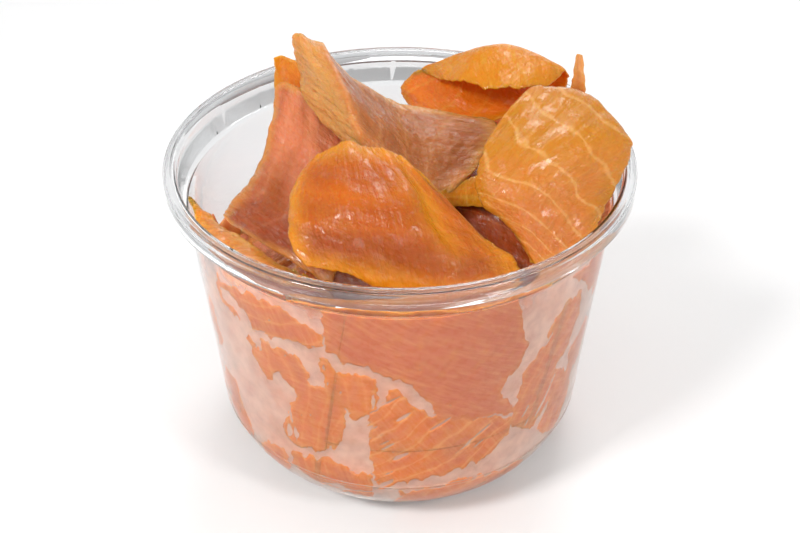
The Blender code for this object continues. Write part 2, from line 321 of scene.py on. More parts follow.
# Places pressed on the plastic at the front, as (degrees, millimetres up) outlines. Each has
# the lean of its muscle fibres in degrees, how pink its flesh is and how clear its fat lines.
PRESSED = [
    (20, 0.2, 0.5, [(214, 67.6), (226, 69.6), (234, 70.7), (247, 68.1), (250, 65.6), (250, 61.5),
        (240, 61), (229, 58.5), (225, 63.6), (219, 65.6)]),
    (75, 0.1, 0.2, [(214, 67.6), (216, 66.6), (216, 62.5), (224, 59), (222, 58.5), (214.5, 61.5)]),
    (88, 0.0, 0.3, [(225, 53.4), (231, 56), (237, 56.5), (243, 55.4), (246, 48.3), (250, 49.4),
        (254, 44.3), (255, 38.2), (252, 30.1), (247, 25.5), (237, 23.5), (234, 29.1), (238, 36.2),
        (241, 43.3), (236, 48.3), (230, 43.3)]),
    (88, 0.0, 0.3, [(249, 58.5), (254, 55.4), (263, 53.4), (264, 48.3), (261, 41.2), (258, 39.2),
        (255, 42.8), (251, 48.3)]),
    (60, 1.0, 0.0, [(251, 74.7), (260, 75.7), (285, 75.7), (300, 73.7), (305, 56.5), (302, 49.4),
        (298, 45.3), (303, 35.2), (290, 38.2), (281, 40.2), (277, 48.3), (269, 54.4), (260, 57.5),
        (251, 60.5)]),
    (35, 0.1, 0.6, [(268, 51.4), (272, 45.3), (279, 41.2), (290, 37.2), (304, 33.1), (303, 27), (298, 23),
        (288, 20.5), (273, 18.5), (264, 14.7), (262, 26), (262, 41.2)]),
    (55, 0.1, 0.3, [(321, 64.5), (315, 60.5), (312, 53.4), (306, 48.3), (304, 40.2), (308, 35.0),
        (317, 37.2), (322, 44.3), (328, 54.5), (325, 61.5)]),
    (65, 0.05, 0.3, [(303, 37.0), (310, 39.2), (321, 40.0), (329, 36.1), (334, 24), (327, 15.6),
        (319, 19.9), (313, 25), (305, 30)]),
    (80, 0.5, 0.1, [(327, 44.3), (335, 49.4), (340, 45.3), (337, 35.2), (328, 32.1)]),
    (10, 0.1, 0.2, [(237, 20.5), (250, 22.5), (262, 19), (262, 9.2), (248, 10.3), (235, 14.7)]),
    (80, 0.2, 0.2, [(203, 56.5), (207, 53.4), (208, 42.3), (204, 38.2), (200, 46.3)]),
    (80, 0.2, 0.2, [(204, 32.1), (212, 33.1), (215, 25), (219, 17.9), (212, 12.5), (204, 17.9), (200, 26)]),
    (70, 0.1, 0.2, [(222, 15.8), (232, 20), (234, 13.6), (228, 6.8), (220, 8)]),
    (30, 0.1, 0.3, [(270, 12.5), (290, 15.8), (312, 12.5), (312, 3.2), (290, 2), (268, 3.2)]),
    (60, 0.6, 0.1, [(320, 70.7), (340, 70.7), (346, 58.5), (338, 54.4), (330, 62.5)]),
]


def inside_wall(height, depth):
    """Radius and height of points that lie depth inside the tub's inner face, square to it."""
    slope = (outer_radius(height + 0.05) - outer_radius(height - 0.05)) / 0.1
    square = (WALL + depth) / np.sqrt(1 + slope ** 2)
    return outer_radius(height) - square, height + square * slope


def depth_in_outline(x, y, outline):
    """Distance from each point to the outline, positive inside it."""
    nearest = np.full(x.shape, 1e9)
    inside = np.zeros(x.shape, bool)
    for (ax, ay), (bx, by) in zip(outline, np.roll(outline, -1, axis=0)):
        length_squared = (bx - ax) ** 2 + (by - ay) ** 2
        along = np.clip(((x - ax) * (bx - ax) + (y - ay) * (by - ay)) / length_squared, 0, 1)
        nearest = np.minimum(nearest, np.hypot(x - ax - along * (bx - ax), y - ay - along * (by - ay)))
        crosses = (ay > y) != (by > y)
        inside ^= crosses & (x < (bx - ax) * (y - ay) / np.where(by == ay, 1e-9, by - ay) + ax)
    return np.where(inside, nearest, -nearest)


def pressed_places(degrees, height):
    """How deep each point is in a pressed place, with its fibres' lean, pinkness and fat."""
    arc = np.radians(degrees) * UNROLL
    x = arc + 1.6 * rough_noise(arc / 5.0, height / 2.6, 11, 4)
    y = height + 2.4 * rough_noise(arc / 1.9, height / 7.0, 23, 4)
    spread = 5.0 * soft_noise(arc / 13.0, height / 9.0, 37) + 1.2
    front = smooth_step(196, 204, degrees) * smooth_step(350, 340, degrees)
    deepest = np.where(front > 0.5, -6.0, spread)
    lean = np.full(arc.shape, 80.0)
    pink = np.clip(0.4 + 0.6 * soft_noise(arc / 20.0, height / 14.0, 41), 0, 1)
    fat = np.clip(0.3 + 0.5 * soft_noise(arc / 16.0, height / 12.0, 43), 0, 1)
    for angle, pinkness, fatness, outline in PRESSED:
        rolled = np.array(outline, float) * (math.radians(1) * UNROLL, 1.0)
        inside = depth_in_outline(x, y, rolled)
        better = (inside > deepest) & (front > 0.5)
        deepest = np.where(better, inside, deepest)
        lean = np.where(better, angle, lean)
        pink = np.where(better, pinkness, pink)
        fat = np.where(better, fatness, fat)
    turned = np.radians(lean)
    down_fibre = arc * np.cos(turned) + height * np.sin(turned)
    over_fibre = height * np.cos(turned) - arc * np.sin(turned)
    bubbles = 3.2 * rough_noise(arc / 2.6, height / 2.6, 57, 3) + 2.3
    gaps = 4.5 * rough_noise(over_fibre / 1.6, down_fibre / 9.0, 61, 3) + 1.8 + 2.0 * pink
    return np.minimum.reduce([deepest, bubbles, gaps]), lean, pink, fat


def sheet_faces(rows, columns):
    """Faces of a closed sheet: its front grid, its back grid, and the band round its edge."""
    front = quads_between(rows, columns)
    back = front[:, ::-1] + rows * columns
    number = np.arange(rows * columns).reshape(rows, columns)
    edge = np.concatenate([number[0, :-1], number[:-1, -1], number[-1, :0:-1], number[:0:-1, 0]])
    after = np.roll(edge, -1)
    band = np.stack([after, edge, edge + rows * columns, after + rows * columns], axis=-1)
    return np.concatenate([front, back, band])


def add_grain(piece, grain):
    """Stores the grain coordinates of each point, in millimetres, as the piece's UV map."""
    corner = np.zeros(len(piece.data.loops), np.int32)
    piece.data.loops.foreach_get("vertex_index", corner)
    across = (grain.reshape(-1, 2)[corner] * 0.01).astype(np.float32)
    piece.data.uv_layers.new(name="grain").data.foreach_set("uv", across.ravel())


def add_sheet(name, front, back, grain, material, values):
    """A closed sheet whose front and back share their grain and named values."""
    points = np.concatenate([front.reshape(-1, 3), back.reshape(-1, 3)])
    both = {key: np.tile(np.broadcast_to(value, front.shape[:2]).ravel(), 2) for key, value in values.items()}
    piece = new_piece(name, points, sheet_faces(*front.shape[:2]), material, both)
    add_grain(piece, np.tile(grain.reshape(-1, 2), (2, 1)))
    return piece


# Cold smoked salmon, sliced: moist, slightly translucent flesh with fine fibres and pale
# wavy fat lines a few millimetres apart. Smoke turns thin edges gold. Oil makes it shine.
FAT_GAP = 9.0             # millimetres between fat lines
FAT_SWAY = 12.0           # millimetres that the fat lines sway to either side
SWAY_LENGTH = 22.0        # millimetres from one sway to the next
MUSCLE_WIDTH = 17.0       # millimetres between the turns of the zigzag
FIBRE = 0.55              # millimetres across a fibre, drawn coarser than real so that it shows
FIBRE_SQUEEZE = 0.13      # width of a fibre over its length
CLOUD = 13.0              # millimetres between light and dark flesh
WET_SPOT = 2.8            # millimetres across a swell of the wet surface
SHEEN_SPOT = 2.4          # millimetres across a spot of oil


def salmon(name, flesh, deep, gold, fat, gold_share=0.7, fat_share=0.45, zigzag=2.0, fat_gap=FAT_GAP,
           coat=0.55, bump=0.8, fibre_share=0.1, see_through=0.003):
    """Salmon flesh. Its four colours are plain flesh, deep flesh, smoked edges and fat.

    The shares say how strongly gold, fat lines and fibres show. zigzag is how sharply fat
    lines turn back on themselves, coat is how oily the flesh is, and see_through is how far
    light travels in it, in metres.
    """
    material, tree = new_material(name)
    grain = node(tree, "ShaderNodeUVMap", uv_map="grain")
    in_mm = node(tree, "ShaderNodeVectorMath", {0: grain.outputs[0], "Scale": 100.0}, operation="SCALE")
    along = node(tree, "ShaderNodeSeparateXYZ", {0: in_mm.outputs[0]})
    sway = node(tree, "ShaderNodeTexNoise", {"Vector": in_mm.outputs[0], "Scale": 1 / SWAY_LENGTH,
                                             "Detail": 3.0, "Roughness": 0.4})
    swayed = node(tree, "ShaderNodeMath", {0: sway.outputs[0], 1: FAT_SWAY, 2: along.outputs["Y"]},
                  operation="MULTIPLY_ADD")
    fold = node(tree, "ShaderNodeMath", {0: along.outputs["X"], 1: MUSCLE_WIDTH}, operation="PINGPONG")
    bent = node(tree, "ShaderNodeMath", {0: fold.outputs[0], 1: zigzag / MUSCLE_WIDTH * 2,
                                         2: swayed.outputs[0]}, operation="MULTIPLY_ADD")
    band = node(tree, "ShaderNodeMath", {0: bent.outputs[0], 1: fat_gap / 2}, operation="PINGPONG")
    broken = node(tree, "ShaderNodeTexNoise", {"Vector": in_mm.outputs[0], "Scale": 1 / 3.0, "Detail": 3.0})
    width = node(tree, "ShaderNodeMapRange", {"Value": broken.outputs[0], "From Min": 0.35, "From Max": 0.7,
                                              "To Min": 0.08, "To Max": 0.55})
    fat_edge = node(tree, "ShaderNodeMath", {0: band.outputs[0], 1: width.outputs[0]}, operation="DIVIDE")
    fat_line = node(tree, "ShaderNodeMapRange", {"Value": fat_edge.outputs[0], "From Min": 0.2,
                                                 "From Max": 2.0, "To Min": 1.0, "To Max": 0.0},
                    interpolation_type="SMOOTHSTEP")
    squeezed = node(tree, "ShaderNodeMath", {0: along.outputs["Y"], 1: FIBRE_SQUEEZE}, operation="MULTIPLY")
    stretch = node(tree, "ShaderNodeCombineXYZ", {"X": along.outputs["X"], "Y": squeezed.outputs[0]})
    fibres = node(tree, "ShaderNodeTexNoise", {"Vector": stretch.outputs[0], "Scale": 1 / FIBRE / 2,
                                               "Detail": 3.0, "Roughness": 0.65, "Distortion": 0.4})
    clouds = node(tree, "ShaderNodeTexNoise", {"Vector": in_mm.outputs[0], "Scale": 1 / CLOUD,
                                               "Detail": 5.0, "Roughness": 0.6})
    rim = node(tree, "ShaderNodeAttribute", attribute_name="edge")
    tone = node(tree, "ShaderNodeAttribute", attribute_name="tone")
    fatness = node(tree, "ShaderNodeAttribute", attribute_name="fat")
    cloud_mix = node(tree, "ShaderNodeMapRange", {"Value": clouds.outputs[0], "From Min": 0.34,
                                                  "From Max": 0.68})
    off_line = node(tree, "ShaderNodeMath", {0: band.outputs[0], 1: 0.8 / fat_gap, 2: tone.outputs["Fac"]},
                    operation="MULTIPLY_ADD")
    deepened = node(tree, "ShaderNodeMath", {0: cloud_mix.outputs[0], 1: 0.5, 2: off_line.outputs[0]},
                    operation="MULTIPLY_ADD", use_clamp=True)
    body = node(tree, "ShaderNodeMix", {0: deepened.outputs[0], 6: linear(flesh), 7: linear(deep)},
                data_type="RGBA")
    rim_noise = node(tree, "ShaderNodeMath", {0: clouds.outputs[0], 1: 0.7, 2: rim.outputs["Fac"]},
                     operation="MULTIPLY_ADD")
    rim_mask = node(tree, "ShaderNodeMapRange", {"Value": rim_noise.outputs[0], "From Min": 0.3,
                                                 "From Max": 1.25, "To Min": 0.0, "To Max": gold_share})
    golden = node(tree, "ShaderNodeMix", {0: rim_mask.outputs[0], 6: body.outputs[2], 7: linear(gold)},
                  data_type="RGBA")
    fibre_mix = node(tree, "ShaderNodeMapRange", {"Value": fibres.outputs[0], "From Min": 0.42,
                                                  "From Max": 0.75, "To Min": 0.0, "To Max": fibre_share})
    fibred = node(tree, "ShaderNodeMix", {0: fibre_mix.outputs[0], 6: golden.outputs[2], 7: linear(fat)},
                  data_type="RGBA")
    fat_mask = node(tree, "ShaderNodeMath", {0: fat_line.outputs[0], 1: fatness.outputs["Fac"]},
                    operation="MULTIPLY")
    fat_mix = node(tree, "ShaderNodeMath", {0: fat_mask.outputs[0], 1: fat_share}, operation="MULTIPLY")
    lined = node(tree, "ShaderNodeMix", {0: fat_mix.outputs[0], 6: fibred.outputs[2], 7: linear(fat)},
                 data_type="RGBA")
    oil = node(tree, "ShaderNodeTexNoise", {"Vector": in_mm.outputs[0], "Scale": 1 / SHEEN_SPOT,
                                            "Detail": 2.0})
    shine = node(tree, "ShaderNodeMapRange", {"Value": oil.outputs[0], "From Min": 0.3, "From Max": 0.7,
                                              "To Min": 0.42, "To Max": 0.15})
    oiled = node(tree, "ShaderNodeMapRange", {"Value": oil.outputs[0], "From Min": 0.45, "From Max": 0.68,
                                              "To Min": 0.0, "To Max": coat})
    wet = node(tree, "ShaderNodeTexNoise", {"Vector": in_mm.outputs[0], "Scale": 1 / WET_SPOT,
                                            "Detail": 4.0, "Roughness": 0.5})
    height = node(tree, "ShaderNodeMath", {0: fibres.outputs[0], 1: 0.4, 2: wet.outputs[0]},
                  operation="MULTIPLY_ADD")
    relief = node(tree, "ShaderNodeBump", {"Height": height.outputs[0], "Strength": bump,
                                           "Distance": 1.0 * MM})
    flesh_shader = node(tree, "ShaderNodeBsdfPrincipled", {
        "Base Color": lined.outputs[2], "Roughness": shine.outputs[0], "Normal": relief.outputs[0],
        "IOR": 1.38, "Specular IOR Level": 0.5, "Subsurface Weight": 0.6,
        "Subsurface Radius": (1.0, 0.36, 0.12), "Subsurface Scale": see_through,
        "Coat Weight": oiled.outputs[0], "Coat Roughness": 0.06, "Coat IOR": 1.46})
    node(tree, "ShaderNodeOutputMaterial", {0: flesh_shader.outputs[0]})
    return material


wall_flesh = salmon("sliced_salmon_against_wall", "DC7822", "CA6C40", "DC9430", "F4C488", gold_share=0.3,
                    fat_share=0.5, zigzag=1.0, fat_gap=4.6, coat=0.0, bump=0.25, fibre_share=0.3)

for number, (name, (first, last)) in enumerate(WALL_SLICES.items()):
    low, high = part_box(name)
    step = WALL_STEP if 196 <= first and last <= 370 else WALL_STEP_BACK
    bottom = max(low.z / MM - GROW, 2.2)
    top = min(high.z / MM + GROW, ledge_height - 0.6)
    rows = int((top - bottom) / step)
    columns = int(math.radians(last - first + 2 * GROW_TURN) * UNROLL / step)
    height, degrees = np.meshgrid(np.linspace(bottom, top, rows),
                                  np.linspace(first - GROW_TURN, last + GROW_TURN, columns), indexing="ij")
    degrees = degrees + SLANT * (height - 37.0) / 35.0
    arc = np.radians(degrees) * UNROLL
    inside, lean, pink, fat = pressed_places(degrees, height)
    lifted = LIFT * (1 - np.exp(np.minimum(inside, 0) / 2.2)) * smooth_step(0.05, -0.25, inside)
    lifted = lifted * (0.75 + 0.35 * soft_noise(arc / 6.0, height / 6.0, 71)) + STAGGER * (number % 3)
    row, column = np.indices(height.shape)
    to_edge = step * np.minimum.reduce([row, rows - 1 - row, column, columns - 1 - column])
    thickness = SLICE * (0.3 + 0.7 * smooth_step(0, 2, to_edge))
    turn = np.radians(degrees)
    faces = []
    for depth in (lifted - PRESS, lifted - PRESS + thickness):
        radius, level = inside_wall(height, depth)
        faces.append(np.stack([radius * np.cos(turn), radius * np.sin(turn), level], axis=-1))
    angle = np.radians(lean)
    grain = np.stack([arc * np.cos(angle) + height * np.sin(angle),
                      height * np.cos(angle) - arc * np.sin(angle)], axis=-1)
    tone = pink * 0.9 - 0.15 + 0.4 * soft_noise(arc / 5, height / 9, 83)
    piece = add_sheet("salmon_" + name, faces[0], faces[1], grain, wall_flesh,
                      {"edge": smooth_step(2.0, 0.0, inside) * 0.8, "tone": tone, "fat": fat})
    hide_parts(name)
    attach(piece, "root")

# Slices in the middle: the rest of the pile, crumpled over each other. Only their tops and
# the edges between the wall slices can be seen, so they are one body with folds in it.
PILE_STEP = 0.8           # grid spacing of the pile
PILE_SHEETS = 22
PILE_LEVEL = 66.0
PILE_DIP = 17.0           # how much lower it is at the back left
PILE_MOUND = 13.0
PILE_EDGE = 57.0          # height at which its edge meets the wall slices
PILE_GAP = 3.4            # from the wall in to its edge
SIDE_ROWS = 60
SIDE_LOW = 4.0
SIDE_DEPTH = 3.1          # from the wall in to its side
SIDE_FOLD = 0.9
pile_low, pile_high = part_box("packed_slices")
pile_flesh = salmon("sliced_salmon_in_the_pile", "C66A3A", "A84A24", "C8862E", "E6AE78", gold_share=0.5)
reach = outer_radius(np.array(PILE_EDGE)) - WALL - PILE_GAP
rings = int(reach / PILE_STEP)
spokes = int(math.tau * reach / PILE_STEP / 1.3)
radii = np.linspace(0.02, 1, rings)[:, None] * reach
spoke = np.linspace(0, math.tau, spokes, endpoint=False)[None, :]
x, y = radii * np.cos(spoke), radii * np.sin(spoke)


def pile_top(x, y):
    """Height of the pile: level at the front and right, low at the back left, one mound."""
    toward_back_left = (y - x) / math.sqrt(2)
    dip = PILE_DIP / (1 + np.exp(-(toward_back_left - 14.0) / 6.0))
    distance = np.hypot(x - 6.0, y - 6.0) / 17.0
    return PILE_LEVEL - dip + PILE_MOUND * np.exp(-0.5 * distance ** 2)


draw = np.random.default_rng(5)
base_top = pile_top(x, y) - 1.8
layered = base_top.copy()
tone = np.zeros(x.shape)
grain_lean = np.zeros(x.shape)
edge = np.zeros(x.shape)
for k in range(PILE_SHEETS):
    centre_angle = draw.uniform(0, math.tau)
    centre_reach = draw.uniform(8, 40)
    cx, cy = centre_reach * math.cos(centre_angle), centre_reach * math.sin(centre_angle)
    turned = draw.uniform(0, math.pi)
    along = (x - cx) * math.cos(turned) + (y - cy) * math.sin(turned)
    across = -(x - cx) * math.sin(turned) + (y - cy) * math.cos(turned)
    size = draw.uniform(13, 22)
    form = 1 - np.hypot(along / size, across / (size * 0.7)) + 0.22 * rough_noise(x / 7.0, y / 7.0, 100 + k)
    lift = 0.6 + k * 0.12
    tilt = draw.uniform(-0.06, 0.06) * along + draw.uniform(-0.05, 0.05) * across
    crumple = 0.9 * soft_noise(along / 9.0, across / 5.0, 130 + k)
    sheet = base_top + lift + tilt + crumple - 1.2 * smooth_step(0.12, 0.0, form)
    over = (form > 0) & (sheet > layered)
    layered = np.where(over, sheet, layered)
    tone = np.where(over, draw.uniform(-0.2, 0.6), tone)
    grain_lean = np.where(over, turned, grain_lean)
    edge = np.where(over, smooth_step(0.25, 0.0, form), edge)
layered = np.minimum(layered, pile_high.z / MM + 0.4)
side_part = np.linspace(1, 0, SIDE_ROWS)[1:, None]
edge_top = layered[-1:, :]
side_height = SIDE_LOW + (edge_top - SIDE_LOW) * side_part
arc = spoke * UNROLL
side_folds = np.abs(rough_noise(arc / 8.0, side_height / 5.0, 91)) * smooth_step(0, 0.1, 1 - side_part)
side_depth = SIDE_DEPTH + SIDE_FOLD * side_folds
side_radius, side_level = inside_wall(side_height, side_depth)
floor_level = pile_low.z / MM
floor_part = np.array([0.7, 0.35, 0.001])[:, None]
all_x = np.concatenate([x, side_radius * np.cos(spoke), floor_part * 29 * np.cos(spoke)])
all_y = np.concatenate([y, side_radius * np.sin(spoke), floor_part * 29 * np.sin(spoke)])
all_z = np.concatenate([layered, side_level, np.full((3, spokes), floor_level)])
pile_points = np.stack([all_x, all_y, all_z], axis=-1)
hidden = np.zeros((SIDE_ROWS + 2, spokes))
pile_values = {"edge": np.concatenate([edge, hidden]), "tone": np.concatenate([tone, hidden + 0.3]),
               "fat": np.concatenate([0 * edge + 0.6, hidden])}
pile_faces = quads_between(len(all_x), spokes, False, True)[:, ::-1]
pile = new_piece("salmon_packed_slices", pile_points, pile_faces, pile_flesh, pile_values)
lean_all = np.concatenate([grain_lean, hidden + 0.5])
flat_x = np.concatenate([x, np.repeat(arc, SIDE_ROWS + 2, axis=0)])
flat_y = np.concatenate([y, all_z[rings:]])
add_grain(pile, np.stack([flat_x * np.cos(lean_all) + flat_y * np.sin(lean_all),
                          flat_y * np.cos(lean_all) - flat_x * np.sin(lean_all)], axis=-1))
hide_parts("packed_slices")
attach(pile, "root")

# Slices on top: single slices dropped in by hand, so they stand, lean and roll over. Each is
# a few rows of points on its middle, from its lower edge up and from left to right.
TOP_SLICES = {
    "front_slice": [
        [(-23, -42.5, 81), (-12.5, -42.5, 81), (2, -44.5, 77), (15.5, -43.5, 75), (27, -38, 74)],
        [(-26, -34, 85.5), (-14.5, -37.5, 88.5), (-0.5, -40.5, 89.5), (13, -39, 83), (25, -34, 76.5)],
        [(-25, -24, 89.5), (-15.5, -28, 93), (-3.5, -30.5, 94), (7.5, -31, 89), (19, -33, 81.5)],
        [(-21, -19, 92.5), (-15, -18, 96), (-7, -19, 97), (0.5, -22, 95.5), (7.5, -25.5, 90)],
    ],
    "peak_slice": [
        [(-13.5, -6.5, 91), (-8.5, -13.5, 94), (-0.5, -14, 88), (8, -14.5, 82.5), (17, -8.5, 82.5)],
        [(-22, 6, 96), (-11.5, -6.5, 98.5), (-3, -8.5, 92), (6.5, -7, 85), (19.5, -2, 83.5)],
        [(-25, 14.5, 101.5), (-16, 4, 102), (-6, 1.5, 95), (5.5, 1.5, 87.5), (22.5, 7, 84)],
        [(-27.5, 20, 107), (-22, 19, 104.5), (-11.5, 14.5, 97), (1, 15, 89), (25, 15, 85)],
    ],
    "left_slice": [
        [(-46.5, -6.5, 70), (-35, -21, 72.5), (-24, -31, 71.5)],
        [(-39.5, -7, 76), (-29.5, -17.5, 79), (-21, -22.5, 79)],
        [(-33, 1.5, 86), (-26, -4, 87), (-18.5, -7, 86)],
        [(-32, 13, 94), (-26, 9.5, 94.5), (-19.5, 5.5, 93)],
    ],
    "back_flap": [
        [(-32.5, 19, 89), (-27, 17.5, 89), (-21, 14.5, 89)],
        [(-32, 20.5, 100), (-28.5, 19, 100), (-25.5, 17.5, 99.5)],
    ],
    "curled_slice": [
        [(2.5, 30, 80), (11.5, 20, 81), (26, 21.5, 81), (41, 27.5, 82)],
        [(1, 37, 81), (13, 28, 85), (27.5, 28, 86), (43, 27.5, 86)],
        [(4, 39.5, 85), (14, 35, 92), (28, 31.5, 97), (43, 25, 93.5)],
        [(7, 35, 87), (14, 24, 91), (27, 16, 93.5), (39, 17.5, 92)],
    ],
    "right_slice": [
        [(31.5, -37, 75), (34.5, -35.5, 75), (38.5, -32, 74.5), (43, -27.5, 74.5)],
        [(23.5, -27.5, 82), (30.5, -31, 82), (38, -29.5, 81), (47, -25, 80)],
        [(18, -23, 87.5), (27.5, -26, 89.5), (38, -23, 88.5), (50.5, -17.5, 84)],
        [(19, -16.5, 94), (30, -15, 96.5), (42.5, -13.5, 96), (55, -9.5, 92)],
        [(23, -9, 98.5), (32.5, 1, 101), (44, 4, 99), (51.5, -1.5, 95)],
    ],
    "inner_slice": [
        [(15, -22, 72), (23.5, -27, 71.5), (32, -31, 70)],
        [(12, -15, 75), (22, -19, 75), (32.5, -26, 73)],
        [(9.5, -8.5, 78), (20, -9.5, 77.5), (32, -17, 76)],
    ],
    "inner_fold": [
        [(9.5, -17, 79.5), (15, -16.5, 78.5), (24, -15, 78)],
        [(8.5, -15.5, 82), (15, -11, 82.5), (23, -6, 83.5)],
    ],
    "back_tip": [
        [(43, 19, 87), (49, 18, 87)],
        [(43.5, 16.5, 94), (47, 15, 94)],
        [(44.5, 19, 101), (46, 19, 101)],
    ],
    "rim_strip": [
        [(-52, -8.5, 77), (-48, -21.5, 77), (-38.5, -35.5, 76.5), (-20, -48.5, 76)],
        [(-51, -12, 77), (-42.5, -20.5, 76), (-33, -30.5, 75.5), (-17.5, -42.5, 75)],
    ],
    "base_slice": [
        [(-15, -48.5, 74.6), (5, -50.5, 74.6), (24, -45.5, 74.4)],
        [(-17, -39.5, 70.5), (1, -42, 70.5), (18, -40.5, 70)],
        [(-18, -29, 69.5), (-3, -33, 69.5), (13, -33, 69)],
    ],
}
TOP_STEP = 0.42           # grid spacing of the top slices


def spline_weights(count, places):
    """Weights of count points for a smooth curve through them, read at places from 0 to 1.

    Past either end the curve runs on straight.
    """
    through = np.eye(count)
    for i in range(1, count - 1):
        through[i, i - 1:i + 2] = (1 / 6, 4 / 6, 1 / 6)
    cage = np.linalg.inv(through)
    padded = np.concatenate([[2 * cage[0] - cage[1]], cage, [2 * cage[-1] - cage[-2]]])
    inside = np.clip(places, 0, 1) * (count - 1)
    span = np.minimum(inside.astype(int), count - 2)
    part = inside - span
    mix = np.stack([(1 - part) ** 3, 3 * part ** 3 - 6 * part ** 2 + 4,
                    -3 * part ** 3 + 3 * part ** 2 + 3 * part + 1, part ** 3], axis=-1) / 6
    slope = np.stack([-(1 - part) ** 2, 3 * part ** 2 - 4 * part, -3 * part ** 2 + 2 * part + 1, part ** 2],
                     axis=-1) / 2
    past = (places * (count - 1) - inside)[..., None]
    mix = mix + slope * past
    return sum(mix[..., k, None] * padded[span + k] for k in range(4))


def sheet_surface(rows, across, up):
    """Points of the smooth sheet through rows, at across and up from 0 to 1."""
    points = np.array(rows, float)
    by_row = spline_weights(points.shape[0], up)
    by_column = spline_weights(points.shape[1], across)
    return np.einsum("...i,...j,ijc->...c", by_row, by_column, points)


def edge_line(places, length, reach, seed):
    """How far a torn edge runs out or in along its length, as a share of across."""
    line = reach * rough_noise(places * length / 8, places * 0, seed, 4)
    return line + 0.3 * rough_noise(places * length / 1.5, places * 0, seed + 5, 2)


def square_to(points):
    """Directions square to a grid of points."""
    square = np.cross(np.gradient(points, axis=1), np.gradient(points, axis=0))
    return square / (np.linalg.norm(square, axis=2)[..., None] + 1e-12)


def kept_inside(points):
    """Points moved in where they would pass through the rim or the band under it."""
    reach = np.hypot(points[..., 0], points[..., 1])
    most = np.where(points[..., 2] < rim_height + 1, band_radius - WALL - 0.3, rim_radius)
    shrink = np.minimum(1, most / np.maximum(reach, 1e-6))[..., None]
    return np.concatenate([points[..., :2] * shrink, np.minimum(points[..., 2:], cad_high.z / MM)], axis=-1)


def top_slice(name, material, seed, thick=1.5, ragged=1.0, corner=0.05, crumple=0.8, crease=0.5,
              curl=0.8, ridges=0.14, lean=0.0, fat=0.6, gold_in=4.0, grow=(0, 0, 0, 0), shape=None,
              paint=None, part_of=None):
    """A slice through its rows of points, crumpled, with torn thin edges.

    thick, ragged, crumple, crease, curl, ridges and gold_in are in millimetres. lean is the
    angle of its fibres in degrees, and corner rounds its corners off. grow is how many
    millimetres it runs on at the left, right, bottom and top. shape and paint are functions
    of across and up from 0 to 1. shape gives millimetres of lift, and paint gives how deep
    and how golden the flesh is.
    """
    rows = TOP_SLICES[name]
    probe = sheet_surface(rows, *np.meshgrid(np.linspace(0, 1, 20), np.linspace(0, 1, 20)))
    wide = np.linalg.norm(np.diff(probe, axis=1), axis=2).sum(axis=1).mean()
    tall = np.linalg.norm(np.diff(probe, axis=0), axis=2).sum(axis=0).mean()
    columns, rows_up = int(wide / TOP_STEP) + 8, int(tall / TOP_STEP) + 8
    s, t = np.meshgrid(np.linspace(0, 1, columns), np.linspace(0, 1, rows_up))
    left = (grow[0] + edge_line(t, tall, ragged, seed)) / wide - corner * np.abs(2 * t - 1) ** 7
    right = (grow[1] + edge_line(t, tall, ragged, seed + 100)) / wide - corner * np.abs(2 * t - 1) ** 7
    below = (grow[2] + edge_line(s, wide, ragged, seed + 200)) / tall - corner * np.abs(2 * s - 1) ** 7
    above = (grow[3] + edge_line(s, wide, ragged, seed + 300)) / tall - corner * np.abs(2 * s - 1) ** 7
    across = -left + s * (1 + left + right)
    up = -below + t * (1 + below + above)
    u, v = across * wide, up * tall
    to_edge = np.minimum.reduce([s * wide, (1 - s) * wide, t * tall, (1 - t) * tall])
    turned = math.radians(lean)
    fibre_u = u * math.cos(turned) + v * math.sin(turned)
    fibre_v = v * math.cos(turned) - u * math.sin(turned)
    lift = crumple * rough_noise(u / 13, v / 13, seed + 400)
    lift += crease * (0.35 - np.abs(rough_noise(fibre_u / 7, fibre_v / 16, seed + 500, 2)) * 1.6)
    lift += curl * smooth_step(5.0, 0.0, to_edge) * soft_noise(u / 6, v / 6, seed + 600)
    lift += ridges * rough_noise(fibre_u / 1.5, fibre_v / 8, seed + 700)
    if shape is not None:
        lift += shape(s, t)
    middle = sheet_surface(rows, across, up)
    middle = middle + lift[..., None] * square_to(middle)
    half = thick / 2 * (0.2 + 0.8 * np.sqrt(np.clip(to_edge / 3.0, 0, 1)))
    half = half * (1 + 0.2 * soft_noise(u / 5, v / 5, seed + 800))
    facing = half[..., None] * square_to(middle)
    front, back = (kept_inside(face) for face in (middle + facing, middle - facing))
    tone = 0.3 * soft_noise(u / 15, v / 15, seed + 900)
    gold = smooth_step(gold_in, 0.0, to_edge)
    if paint is not None:
        deeper, more_gold = paint(s, t)
        tone, gold = tone + deeper, np.maximum(gold, more_gold)
    piece = add_sheet("salmon_" + name, front, back, np.stack([fibre_u, fibre_v], axis=-1), material,
                      {"edge": gold, "tone": tone, "fat": fat})
    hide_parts(part_of or name)
    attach(piece, "root")


def spot(s, t, at, size):
    """1 at a place of a slice, fading to 0 over its size."""
    return np.exp(-((s - at[0]) / size[0]) ** 2 - ((t - at[1]) / size[1]) ** 2)


# Front slice: the browned outer part of a side, glossy, with an amber upper edge. A light
# gold band crosses its right shoulder, partly gold flesh and partly a painted highlight on the ridge there.
brown_flesh = salmon("sliced_salmon_brown_outside", "C8640C", "A44810", "E69616", "E8A048")
top_slice("front_slice", brown_flesh, 2000, fat=0.1, gold_in=7.0, ridges=0.08,
          grow=(0, 1, 3, 1),
          shape=lambda s, t: (1.8 * spot(s, t, (0.58, 0.62), (0.05, 0.16))
                              - 1.5 * spot(s, t, (0.7, 0.52), (0.08, 0.2))),
          # the gold spot on the right shoulder is partly a painted highlight; the spot at the right tip is
          # gold flesh
          paint=lambda s, t: (0.6 * smooth_step(0.6, 0.1, t),
                              np.maximum(spot(s, t, (0.68, 0.62), (0.09, 0.3)),
                                         spot(s, t, (1.0, 0.3), (0.12, 0.4)))))

